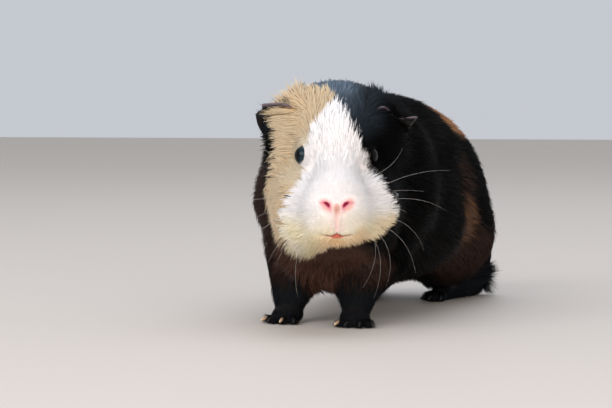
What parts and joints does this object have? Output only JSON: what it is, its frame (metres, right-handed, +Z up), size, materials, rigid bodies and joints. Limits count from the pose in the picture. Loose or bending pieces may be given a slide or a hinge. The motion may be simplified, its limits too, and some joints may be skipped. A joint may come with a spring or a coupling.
{
  "type": "guinea pig",
  "caption": "Life-size still model of a smooth-coated white, tan and black guinea pig standing on all fours, head turned a little to its left.",
  "frame": {"origin": "on the floor, under the middle of the animal's length and width", "axes": "+Z up, -Y the way the body faces, +X the animal's left"},
  "size_m": [0.0986, 0.2483, 0.1139],
  "materials": {
    "coat_white": "short white fur, soft and matt",
    "coat_tan": "short tan fur over the cheek and chin",
    "coat_brown": "dark brown fur, glossy along the hairs",
    "coat_black": "black fur, glossy along the hairs",
    "nose_skin": "bare pink skin, slightly moist",
    "ear_skin": "thin bare dark skin, satin",
    "eye": "black, wet gloss",
    "claw_horn": "pale horn, satin"
  },
  "bodies": {
    "root": {"head": "coat_white", "jaw": "coat_tan", "nose": "nose_skin", "neck": "coat_brown", "trunk": "coat_black", "hindquarters": "coat_black", "eye_left": "eye", "ear_left": "ear_skin", "foreleg_left": "coat_brown", "hindleg_left": "coat_brown", "forefoot_left": "coat_black", "hindfoot_left": "coat_black", "claw_fore_left_1": "claw_horn", "claw_fore_left_2": "claw_horn", "claw_fore_left_3": "claw_horn", "claw_fore_left_4": "claw_horn", "claw_hind_left_1": "claw_horn", "claw_hind_left_2": "claw_horn", "claw_hind_left_3": "claw_horn", "eye_right": "eye", "ear_right": "ear_skin", "foreleg_right": "coat_brown", "hindleg_right": "coat_brown", "forefoot_right": "coat_black", "hindfoot_right": "coat_black", "claw_fore_right_1": "claw_horn", "claw_fore_right_2": "claw_horn", "claw_fore_right_3": "claw_horn", "claw_fore_right_4": "claw_horn", "claw_hind_right_1": "claw_horn", "claw_hind_right_2": "claw_horn", "claw_hind_right_3": "claw_horn"}
  },
  "joints": []
}
